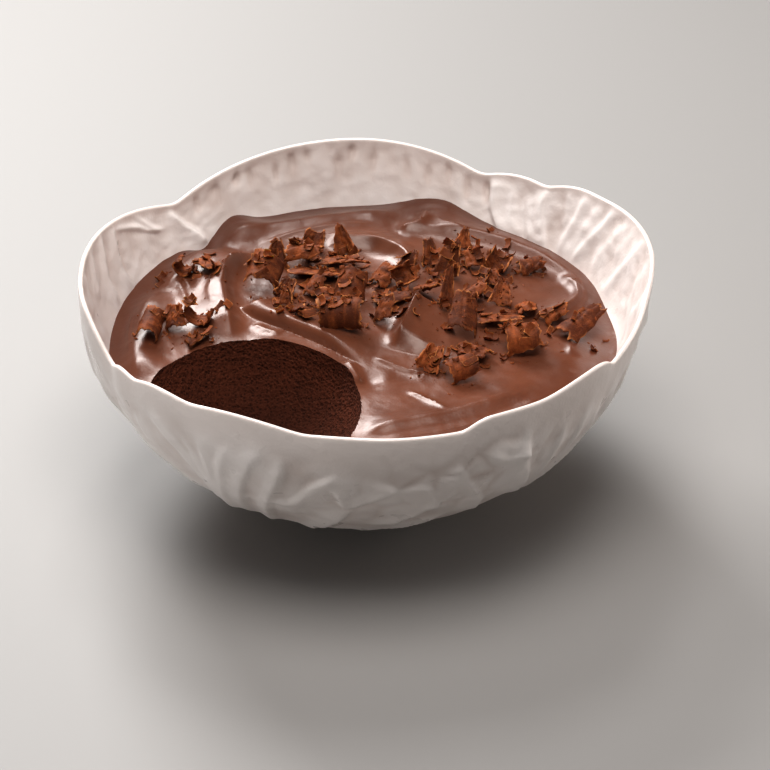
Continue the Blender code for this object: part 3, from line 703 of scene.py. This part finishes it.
def bowl_section():
    """The turned wall's rows as (radius, height, side): inside up, over the lip, outside down."""
    inner_r, inner_z = wall_curve(WALL_BOTTOM, WALL_TOP)
    hidden = inner_z < HIDDEN_BELOW
    low_r, low_z = even_points(inner_r[hidden], inner_z[hidden], HIDDEN_ROWS)
    high_r, high_z = even_points(inner_r[~hidden], inner_z[~hidden], INNER_ROWS)
    outer_r, outer_z = wall_curve(0.0, 0.0)
    above_foot = outer_r > FOOT_TOP_RADIUS
    outer_r, outer_z = even_points(outer_r[above_foot], outer_z[above_foot], OUTER_ROWS)
    middle = (high_r[-1] + outer_r[-1]) / 2.0
    half = (outer_r[-1] - high_r[-1]) / 2.0
    rows = [(r, z, -1.0) for r, z in zip(low_r, low_z)]
    rows += [(r, z, -1.0) for r, z in zip(high_r, high_z)]
    for angle in np.linspace(math.pi, 0.0, LIP_ROWS + 2)[1:-1]:
        rows.append((middle + half * math.cos(angle), RIM_HEIGHT + half * math.sin(angle), 0.0))
    rows += [(r, z, 1.0) for r, z in zip(outer_r[::-1], outer_z[::-1])]
    for share in np.linspace(0.0, 1.0, FOOT_ROWS):
        radius = FOOT_TOP_RADIUS + (FOOT_RADIUS - FOOT_TOP_RADIUS) * share
        rows.append((radius, (outer_z[0] - FOOT_BEVEL) * (1.0 - share), 0.0))
    return np.array(rows)


def wall_place(azimuth, height):
    """The point of the plain turned outer wall at an azimuth and a height."""
    turn = np.radians(azimuth)
    radius = outer_radius(height)
    return np.stack([radius * np.cos(turn), radius * np.sin(turn), height + 0.0 * turn], axis=-1)


def folded(points, up, folds):
    """The height of all the folds over points of the wall."""
    raised = np.zeros(len(points))
    for path, height, left, right in folds:
        curve = smooth_path(path)
        raised += ridge(points, up, wall_place(curve[:, 0], curve[:, 1]), height, left, right)
    return raised


def plain_leaves():
    """Leaves with a midrib and side veins round the back and the sides, by a loop."""
    vary = random.Random(5)
    folds = []
    for azimuth in range(-2, 190, 30):
        lean = vary.uniform(-4, 4)
        folds.append((((azimuth, 16), (azimuth + 0.4 * lean, 42), (azimuth + lean, 68)), 1.1, 2.0, 2.0))
        for side in (-1, 1):
            for step in range(4):
                start = 22 + 10 * step
                reach = 13 - 1.5 * step + vary.uniform(-1, 1)
                path = (
                    (azimuth + 0.3 * lean, start),
                    (azimuth + 0.5 * lean + side * 0.5 * reach, start + 9),
                    (azimuth + 0.6 * lean + side * reach, start + 21),
                )
                folds.append((path, 0.8, 1.8, 1.2))
        edge = azimuth + 15
        folds.append((((edge + 3, 14), (edge + 1, 40), (edge - 2, 70)), 1.1, 5.0, 1.0))
    return folds


def dimple_relief(points, azimuth, height):
    """Small upright dimples under the rim inside at the back."""
    vary = random.Random(11)
    pressed = np.zeros(len(points))
    for step in range(15):
        centre = 132 - 5.0 * step + vary.uniform(-1.5, 1.5)
        middle = 70.5 + vary.uniform(-3.5, 2.5)
        half_wide = vary.uniform(0.9, 1.5)
        half_tall = vary.uniform(2.8, 4.6)
        lean = vary.uniform(-0.15, 0.15)
        along = np.radians(degrees_apart(azimuth, centre)) * RIM_RADIUS + lean * (height - middle)
        pressed += vary.uniform(0.5, 0.9) * bell(along, 0.0, half_wide) * bell(height, middle, half_tall)
    return -pressed


def relief_of(side, points, up, azimuth, height):
    """How far the ornament lifts each point of one side of the wall."""
    if side > 0.0:
        raised = folded(points, up, [*OUTER_FOLDS, *plain_leaves()])
        right_front = bell(degrees_apart(azimuth, -64.0), 0.0, 17.0) * bell(height, 58.0, 14.0)
        front = bell(degrees_apart(azimuth, -92.0), 0.0, 26.0) * bell(height, 42.0, 20.0)
        cells = cell_field(points * np.array([1.0, 1.0, 0.75]), 8.5)
        raised += (1.1 * right_front + 0.35 * front) * (cells**0.6 - 0.5)
        raised += 0.45 * noise_field(points, 12.0, 1.0) + 0.22 * noise_field(points, 5.0, 2.0)
        band = 70.0 - 4.0 * bell(degrees_apart(azimuth, -86.0), 0.0, 22.0)
        return raised * (1.0 - smoothstep(height, band - 6.0, band + 4.0)) * smoothstep(height, 4.0, 12.0)
    raised = folded(points, up, INNER_FOLDS)
    raised += 1.3 * dimple_relief(points, azimuth, height)
    raised += 0.50 * noise_field(points * np.array([1.0, 1.0, 0.5]), 8.0, 3.0)
    raised += 0.25 * noise_field(points, 3.5, 4.0)
    return raised * smoothstep(height, 50.0, 57.0) * (1.0 - smoothstep(height, 72.0, 76.5))


def grid_normals(rings):
    """Unit normals out of the wall for a grid of rings."""
    down = np.gradient(rings, axis=0)
    round_ = np.roll(rings, -1, axis=1) - np.roll(rings, 1, axis=1)
    normals = np.cross(down, round_)
    return normals / np.maximum(np.linalg.norm(normals, axis=2, keepdims=True), 1e-9)


def make_bowl(material):
    section = bowl_section()
    azimuths = np.arange(BOWL_COLUMNS) * 360.0 / BOWL_COLUMNS - 180.0
    turn = np.radians(azimuths)[None, :]
    plain_z = np.repeat(section[:, 1:2], BOWL_COLUMNS, axis=1)
    azimuth = np.repeat(azimuths[None, :], len(section), axis=0)
    radius, height = leaf_form(section[:, 0:1], azimuth, plain_z)
    on_foot = section[:, 1] < FOOT_KEPT
    radius[on_foot] = section[on_foot, 0:1]
    height[on_foot] = plain_z[on_foot]
    rings = np.stack([radius * np.cos(turn), radius * np.sin(turn), height], axis=2)
    up = grid_normals(rings)
    relief = np.zeros(azimuth.shape)
    for side in (-1.0, 1.0):
        rows = section[:, 2] == side
        places = wall_place(azimuth[rows], plain_z[rows]).reshape(-1, 3)
        raised = relief_of(side, places, up[rows].reshape(-1, 3), azimuth[rows].ravel(), plain_z[rows].ravel())
        relief[rows] = raised.reshape(relief[rows].shape)
    rings += up * relief[:, :, None]
    first = (0.0, 0.0, section[0, 1])
    bowl = ring_solid("glazed_bowl", rings, first, (0.0, 0.0, 0.0))
    # The lip rows get a painted shade through the glaze's colour for hollows.
    relief[(section[:, 2] == 0.0) & (section[:, 1] >= RIM_HEIGHT)] = LIP_PAINTED_SHADE
    float_attribute(bowl.data, "relief", np.append(relief.ravel(), [0.0, 0.0]))
    bowl.data.materials.append(material)
    smooth_shade(bowl)
    finish_piece(bowl, "glaze", "bowl")
    return bowl


# ---- the mousse ----
def rolled_fold(points, up, path, height, behind, front):
    """A fold with a blunt wide start and a front that swells out down to a sharp crease."""
    signed, share = along_path(points, up, path)
    wide = front * (1.0 + FOLD_FLARE * np.exp(-share / FOLD_FLARE_SHARE))
    back = np.exp(-((np.maximum(signed, 0.0) / behind) ** RIDGE_POWER))
    swell = np.clip(1.0 - (np.minimum(signed, 0.0) / wide) ** 2, 0.0, 1.0) ** FOLD_ROUNDNESS
    ends = smoothstep(share, 0.0, FOLD_START) * smoothstep(1.0 - share, 0.0, FOLD_END)
    return height * ends * back * swell


def flat_path(points):
    """A smooth path over the mousse, at height zero."""
    curve = smooth_path(points)
    return np.column_stack([curve, np.zeros(len(curve))])


def mousse_height(x, y):
    """The top surface over arrays of x and y, before it meets the wall."""
    mound = bell(x, MOUND_CENTRE[0], MOUND_RADIUS) * bell(y, MOUND_CENTRE[1], MOUND_RADIUS)
    points = np.column_stack([x.ravel(), y.ravel(), np.zeros(x.size)])
    up = np.tile([0.0, 0.0, 1.0], (x.size, 1))
    raised = np.zeros(x.size)
    for path, *form in STROKES:
        raised += ridge(points, up, flat_path(path), *form)
    path, *form = FOLD
    raised += rolled_fold(points, up, flat_path(path), *form)
    for path, *form in FINE_STROKES:
        raised += ridge(points, up, flat_path(path), *form, CREST_POWER)
    height = LEVEL + MOUND * mound + raised.reshape(x.shape)
    for centre_x, centre_y, half_x, half_y, depth in DENTS:
        height = height - depth * bell(x, centre_x, half_x) * bell(y, centre_y, half_y)
    return height


def edge_height(azimuth):
    """The height of the line where the mousse meets the wall."""
    height = np.full(np.shape(azimuth), LEVEL)
    for centre, rise, spread in EDGE_WAVES:
        height = height + rise * bell(degrees_apart(azimuth, centre), 0.0, spread)
    return height


def mousse_wall(azimuth):
    """Radii and heights along the wall at one azimuth, from the floor up to the mousse's edge."""
    curve_r, curve_z = wall_curve(MOUSSE_DEPTH_BOTTOM, MOUSSE_DEPTH_TOP)
    curve_r, curve_z = leaf_form(curve_r, azimuth, curve_z)
    edge = edge_height(azimuth)
    below = curve_z < edge
    side_r = np.append(curve_r[below], np.interp(edge, curve_z, curve_r))
    return side_r, np.append(curve_z[below], edge)


def make_mousse(material, scoop):
    azimuths = np.arange(MOUSSE_COLUMNS) * 360.0 / MOUSSE_COLUMNS - 180.0
    turn = np.radians(azimuths)
    sides = [even_points(*mousse_wall(azimuth), SIDE_ROWS) for azimuth in azimuths]
    side_r = np.array([r for r, z in sides]).T
    side_z = np.array([z for r, z in sides]).T
    shares = np.linspace(0.0, 1.0, TOP_RINGS + 1)[1:, None]
    x = shares * side_r[-1] * np.cos(turn)
    y = shares * side_r[-1] * np.sin(turn)
    z = mousse_height(x, y)
    places = np.stack([x, y, z], axis=2).reshape(-1, 3)
    waves = 0.30 * noise_field(places, 9.0, 6.0) + 0.10 * noise_field(places, 3.2, 7.0)
    z = z + waves.reshape(z.shape) * (1.0 - smoothstep(shares, 0.93, 1.0))
    z = z + (side_z[-1] - z[-1]) * smoothstep(shares, 0.8, 1.0)
    top = np.stack([x, y, z], axis=2)
    wall = np.stack([side_r * np.cos(turn), side_r * np.sin(turn), side_z], axis=2)[-2::-1]
    middle = (0.0, 0.0, float(z[0].mean()))
    mousse = ring_solid("whipped_mousse", np.concatenate([top, wall]), middle, (0.0, 0.0, side_z[0, 0]))
    mousse.data.materials.append(material)
    cut_scoop(mousse, scoop)
    smooth_shade(mousse, 50.0)
    finish_piece(mousse, "mousse", "mousse")
    return mousse


def spoon_reach(material):
    """The room inside the bowl that a spoon can empty: all but the film on the wall."""
    azimuths = np.arange(MOUSSE_COLUMNS) * 360.0 / MOUSSE_COLUMNS - 180.0
    turn = np.radians(azimuths)
    curve_r, curve_z = wall_curve(WALL_BOTTOM + FILM, WALL_TOP + FILM)
    walls = [even_points(*leaf_form(curve_r, azimuth, curve_z), FILM_ROWS) for azimuth in azimuths]
    wall_r = np.array([r for r, z in walls]).T[::-1]
    wall_z = np.array([z for r, z in walls]).T[::-1]
    rings = np.stack([wall_r * np.cos(turn), wall_r * np.sin(turn), wall_z], axis=2)
    uneven = FILM_UNEVEN * noise_field(rings.reshape(-1, 3), 5.0, 10.0, 2).reshape(wall_r.shape)
    rings[:, :, 0] += uneven * np.cos(turn)
    rings[:, :, 1] += uneven * np.sin(turn)
    reach = ring_solid("spoon_reach", rings, (0.0, 0.0, RIM_HEIGHT), (0.0, 0.0, wall_z[-1, 0]))
    reach.data.materials.append(material)
    return reach


def combine(obj, operation, other):
    """Bakes a boolean with another closed mesh, whose material its faces bring along."""
    boolean = obj.modifiers.new("combined", "BOOLEAN")
    boolean.operation = operation
    boolean.solver = "MANIFOLD"
    boolean.material_mode = "TRANSFER"
    boolean.object = other
    bake_modifiers(obj)
    bpy.data.objects.remove(other, do_unlink=True)


def cut_scoop(mousse, material):
    """Takes a spoonful out, leaving a rough porous face."""
    ball = bmesh.new()
    bmesh.ops.create_icosphere(ball, subdivisions=7, radius=1.0)
    mesh = bpy.data.meshes.new("scoop_cutter")
    ball.to_mesh(mesh)
    ball.free()
    unit = np.empty(len(mesh.vertices) * 3)
    mesh.vertices.foreach_get("co", unit)
    unit = unit.reshape(-1, 3)
    points = unit * np.array(SCOOP_HALF_SIZES) + np.array(SCOOP_CENTRE)
    rough = 0.5 * noise_field(points, 14.0, 8.0) + 0.22 * noise_field(points, 1.6, 9.0, 3)
    cells = np.array([noise.voronoi(Vector(p))[0][0] for p in points / 1.7])
    pits = 0.35 * (1.0 - smoothstep(cells, 0.15, 0.42))
    points = points + unit * (rough + pits)[:, None]
    mesh.vertices.foreach_set("co", (points * MM).ravel())
    mesh.materials.append(material)
    cutter = link(bpy.data.objects.new("scoop_cutter", mesh))
    combine(cutter, "INTERSECT", spoon_reach(material))
    combine(mousse, "DIFFERENCE", cutter)


def bake_modifiers(obj):
    """Replaces the object's mesh by what its modifiers make of it."""
    bpy.context.view_layer.update()
    evaluated = obj.evaluated_get(bpy.context.evaluated_depsgraph_get())
    mesh = bpy.data.meshes.new_from_object(evaluated)
    obj.modifiers.clear()
    obj.data = mesh


# ---- the curls ----
def torn_border(position, depth, teeth, phase):
    """How far a torn edge steps back along itself: jagged teeth of uneven depth."""
    coarse = noise.noise(Vector((position * teeth, phase, 0.3)))
    fine = noise.noise(Vector((position * teeth * 3.1, phase, 7.7)))
    return depth * (0.5 + 0.9 * coarse + 0.5 * fine)


def curl_grid(name, length, width, radius, tip, twist, seed):
    """A shaving bent about its own X axis, open side up, with torn edges, ripples and streaks."""
    cells_along, cells_around = CURL_CELLS
    sheet = bmesh.new()
    bmesh.ops.create_grid(sheet, x_segments=cells_along, y_segments=cells_around, size=0.5)
    vary = random.Random(1000 + seed)
    phases = [vary.uniform(0.0, 90.0) for _ in range(6)]
    ripple = vary.uniform(0.10, 0.22)
    spiral = vary.uniform(-0.10, 0.16)
    tone = vary.uniform(0.0, 0.5)
    borders, tones = {}, {}
    for vertex in sheet.verts:
        u, v = 2.0 * vertex.co.x, 2.0 * vertex.co.y
        end = 1.0 if u > 0.0 else -1.0
        torn_u = torn_border(v, 0.26, 2.6, phases[0 if end > 0.0 else 1])
        torn_v = torn_border(u, 0.15, 2.4, phases[2 if v > 0.0 else 3])
        u_new = u * (1.0 - torn_u * abs(u) ** 3)
        v_new = v * (1.0 - torn_v * abs(v) ** 3)
        narrowing = 1.0 + (tip - 1.0) * 0.5 * (u_new + 1.0)
        angle = 0.5 * v_new * narrowing * width / radius + twist * u_new
        bumpy = noise.noise(Vector((u * 2.2, v * 2.6, phases[4])))
        ripples = math.sin(9.0 * v + 3.0 * bumpy + phases[5]) * (0.4 + 0.6 * abs(bumpy))
        reach = radius * (1.0 + spiral * v_new) + 0.35 * bumpy + ripple * ripples
        place = Vector((0.5 * u_new * length, reach * math.sin(angle), radius - reach * math.cos(angle)))
        borders[vertex.index] = 1.0 - max(abs(u), abs(v))
        streak = noise.fractal(Vector((0.5 * u_new * length / 2.2, 0.9 * v, phases[5])), 1.0, 2.0, 4)
        tones[vertex.index] = min(1.0, max(0.0, tone + 0.45 * streak))
        vertex.co = place * MM
    mesh = bpy.data.meshes.new(name)
    sheet.to_mesh(mesh)
    sheet.free()
    float_attribute(mesh, "edge", [borders[i] for i in sorted(borders)])
    float_attribute(mesh, "tone", [tones[i] for i in sorted(tones)])
    return mesh


def thicken(obj, thickness):
    """Gives a sheet its thickness, thinner at its torn edges."""
    group = obj.vertex_groups.new(name="thick")
    for index, item in enumerate(obj.data.attributes["edge"].data):
        group.add([index], min(1.0, 0.4 + 5.0 * item.value), "REPLACE")
    solid = obj.modifiers.new("thickness", "SOLIDIFY")
    solid.thickness = thickness * MM
    solid.offset = 0.0
    solid.vertex_group = "thick"
    bake_modifiers(obj)
    obj.vertex_groups.clear()


def make_curl(number, row, material):
    """One curl in the place of its CAD solid."""
    turn = [math.radians(angle) for angle in row[2:5]]
    length, width, radius, tip = row[5:]
    twist = math.radians(random.Random(number).uniform(-CURL_TWIST, CURL_TWIST))
    name = f"chocolate_curl_{number:02d}"
    mesh = curl_grid(name, 1.08 * length, 1.06 * width, radius, tip, twist, number)
    curl = link(bpy.data.objects.new(name, mesh))
    thicken(curl, CURL_THICKNESS)
    yaw, tilt, roll = turn
    tilted = Matrix.Rotation(yaw, 4, "Z") @ Matrix.Rotation(-tilt, 4, "Y") @ Matrix.Rotation(roll, 4, "X")
    curl.data.transform(tilted)
    corners = np.array([vertex.co for vertex in curl.data.vertices])
    low, high = corners.min(axis=0), corners.max(axis=0)
    node_low, node_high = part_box(f"curl_{number:02d}")
    place = (node_low + node_high) / 2.0 - Vector((low + high) / 2.0)
    place.z = node_low.z - low[2] - CURL_SINK * MM
    curl.data.transform(Matrix.Translation(place))
    curl.data.materials.append(material)
    smooth_shade(curl, 50.0)
    finish_piece(curl, "curl", f"curl_{number:02d}")
    return curl


# ---- small shavings and crumbs ----
def joined_trees(objects):
    """A search tree over the world-space faces of several objects."""
    points, faces = [], []
    for obj in objects:
        start = len(points)
        points += [vertex.co.copy() for vertex in obj.data.vertices]
        faces += [tuple(start + i for i in face.vertices) for face in obj.data.polygons]
    return BVHTree.FromPolygons(points, faces)


def surface_below(tree, x, y):
    """The place and the normal of the surface under a point, or None."""
    place, normal, _, _ = tree.ray_cast(Vector((x, y, 120.0)) * MM, Vector((0.0, 0.0, -1.0)))
    return None if place is None else (place, normal)


def in_scoop(x, y, margin=1.5):
    across = (x - SCOOP_CENTRE[0]) / (SCOOP_HALF_SIZES[0] + margin)
    deep = (y - SCOOP_CENTRE[1]) / (SCOOP_HALF_SIZES[1] + margin)
    return across**2 + deep**2 < 1.0


def scatter_places(vary, count, spread, loose):
    """Places near the curls, and a few loose ones farther out."""
    places = []
    while len(places) < count:
        row = CURLS[vary.randrange(len(CURLS))]
        away = spread * (3.0 if vary.random() < loose else 1.0)
        x, y = row[0] + vary.gauss(0.0, away), row[1] + vary.gauss(0.0, away) * 0.8
        if math.hypot(x, y) < 78.0 and not in_scoop(x, y):
            places.append((x, y))
    return places


def settle(vary, place, normal, lean):
    """A matrix that lays a chip on the surface, turned about it and tilted by up to lean."""
    upright = normal.to_track_quat("Z", "Y").to_matrix().to_4x4()
    spin = Matrix.Rotation(vary.uniform(0.0, 2.0 * math.pi), 4, "Z")
    tilt = Matrix.Rotation(vary.uniform(-lean, lean), 4, "X")
    return Matrix.Translation(place) @ upright @ spin @ tilt


def shaving_points(vary):
    """A small bent chip with a torn outline: its grid of points and their distance to the border."""
    length = vary.uniform(1.6, 6.0)
    width = length * vary.uniform(0.25, 0.7)
    bend = vary.uniform(0.2, 1.6)
    phase = vary.uniform(0.0, 60.0)
    rows = []
    for i in range(7):
        for j in range(5):
            u, v = i / 3.0 - 1.0, j / 2.0 - 1.0
            torn = 1.0 - 0.35 * abs(noise.noise(Vector((u * 2.0, v * 2.0, phase)))) * max(abs(u), abs(v))
            angle = bend * u
            along = 0.5 * length * math.sin(angle) / bend * torn
            lift = 0.5 * length * (1.0 - math.cos(angle)) / bend
            rough = 0.12 * noise.noise(Vector((u * 3.0, v * 3.0, phase + 5.0)))
            rows.append((along, 0.5 * width * v * torn, lift + rough, 1.0 - max(abs(u), abs(v))))
    return rows


def chip_faces(start, columns, rows):
    """Top, bottom and side faces of a thick grid whose lower copy follows its upper one."""
    count = columns * rows
    faces = []
    for i in range(rows - 1):
        for j in range(columns - 1):
            a, b = start + i * columns + j, start + i * columns + j + 1
            c, d = b + columns, a + columns
            faces.append((a, b, c, d))
            faces.append((d + count, c + count, b + count, a + count))
    rim = [j for j in range(columns)]
    rim += [i * columns + columns - 1 for i in range(1, rows)]
    rim += [(rows - 1) * columns + j for j in range(columns - 2, -1, -1)]
    rim += [i * columns for i in range(rows - 2, 0, -1)]
    for a, b in zip(rim, rim[1:] + rim[:1]):
        faces.append((start + b, start + a, start + a + count, start + b + count))
    return faces


def make_shavings(tree, material):
    vary = random.Random(21)
    points, faces, edges, tones = [], [], [], []
    for x, y in scatter_places(vary, SHAVINGS, 4.2, 0.10):
        hit = surface_below(tree, x, y)
        if hit is None:
            continue
        place, normal = hit
        matrix = settle(vary, place / MM, normal, math.radians(38.0))
        grid = shaving_points(vary)
        tone = vary.uniform(0.0, 0.5)
        faces += chip_faces(len(points), 5, 7)
        for thickness in (0.25, -0.25):
            for u, v, w, border in grid:
                thin = thickness * min(1.0, 0.4 + border)
                points.append(matrix @ Vector((u, v, w + thin + 0.15)))
                edges.append(border)
                tones.append(tone)
    return joined_piece("chocolate_shavings", points, faces, edges, tones, material)


def make_crumbs(tree, material):
    vary = random.Random(34)
    shape = bmesh.new()
    bmesh.ops.create_icosphere(shape, subdivisions=1, radius=1.0)
    corners = [vertex.co.copy() for vertex in shape.verts]
    sides = [tuple(vertex.index for vertex in face.verts) for face in shape.faces]
    shape.free()
    points, faces, edges, tones = [], [], [], []
    for x, y in scatter_places(vary, CRUMBS, 4.5, 0.12):
        hit = surface_below(tree, x, y)
        if hit is None:
            continue
        place, normal = hit
        size = 0.16 + 0.42 * vary.random() ** 2.5
        stretch = (vary.uniform(0.8, 2.2), vary.uniform(0.6, 1.1), vary.uniform(0.4, 0.8))
        matrix = settle(vary, place / MM, normal, math.radians(30.0))
        tone = vary.uniform(0.0, 0.5)
        faces += [tuple(len(points) + i for i in side) for side in sides]
        for corner in corners:
            scaled = Vector(c * s * size * vary.uniform(0.75, 1.25) for c, s in zip(corner, stretch))
            points.append(matrix @ (scaled + Vector((0.0, 0.0, 0.2 * size))))
            edges.append(1.0)
            tones.append(tone)
    return joined_piece("chocolate_crumbs", points, faces, edges, tones, material)


def joined_piece(name, points, faces, edges, tones, material):
    piece = mesh_object(name, points, faces)
    float_attribute(piece.data, "edge", edges)
    float_attribute(piece.data, "tone", tones)
    piece.data.materials.append(material)
    smooth_shade(piece, 40.0)
    finish_piece(piece, "curl")
    return piece


# ---- stage ----
def make_floor():
    mesh = bpy.data.meshes.new("floor")
    plane = bmesh.new()
    bmesh.ops.create_grid(plane, x_segments=1, y_segments=1, size=8.0)
    plane.to_mesh(mesh)
    plane.free()
    floor = link(bpy.data.objects.new("floor", mesh))
    material, tree, shader = new_material("pale_floor")
    shader.inputs["Base Color"].default_value = (*FLOOR_COLOUR, 1.0)
    shader.inputs["Roughness"].default_value = 0.6
    mesh.materials.append(material)


def soft_light(name, azimuth, elevation, distance, power, side, colour):
    """A square soft box that faces the middle of the bowl from that direction."""
    data = bpy.data.lights.new(name, "AREA")
    data.shape = "SQUARE"
    data.size = side * MM
    data.energy = power
    data.color = colour
    light = link(bpy.data.objects.new(name, data))
    turn, rise = math.radians(azimuth), math.radians(elevation)
    away = Vector((math.cos(turn) * math.cos(rise), math.sin(turn) * math.cos(rise), math.sin(rise)))
    light.location = (Vector(LIGHT_TARGET) + distance * away) * MM
    light.rotation_euler = away.to_track_quat("Z", "Y").to_euler()


def make_lights():
    world = bpy.data.worlds.new("studio")
    bpy.context.scene.world = world
    world.use_nodes = True
    background = world.node_tree.nodes["Background"]
    background.inputs["Color"].default_value = (*WORLD_COLOUR, 1.0)
    background.inputs["Strength"].default_value = WORLD_LIGHT
    for light in LIGHTS:
        soft_light(*light)


def make_camera():
    data = bpy.data.cameras.new("camera")
    data.lens = LENS
    data.sensor_width = SENSOR
    camera = link(bpy.data.objects.new("camera", data))
    elevation = math.radians(CAMERA_ELEVATION)
    back = Vector((0.0, -math.cos(elevation), math.sin(elevation)))
    camera.location = (Vector(AIM) + CAMERA_DISTANCE * back) * MM
    camera.rotation_euler = (math.pi / 2.0 - elevation, 0.0, 0.0)
    bpy.context.scene.camera = camera


def main():
    view = bpy.context.scene.view_settings
    view.view_transform = "Standard"
    view.exposure = EXPOSURE
    view.gamma = GAMMA
    make_camera()
    make_lights()
    make_floor()
    make_bowl(glaze_material())
    mousse = make_mousse(mousse_material(), scoop_material())
    shaved = curl_material()
    curls = [make_curl(number, row, shaved) for number, row in enumerate(CURLS, start=1)]
    tree = joined_trees([mousse, *curls])
    make_shavings(tree, shaved)
    make_crumbs(tree, shaved)


main()
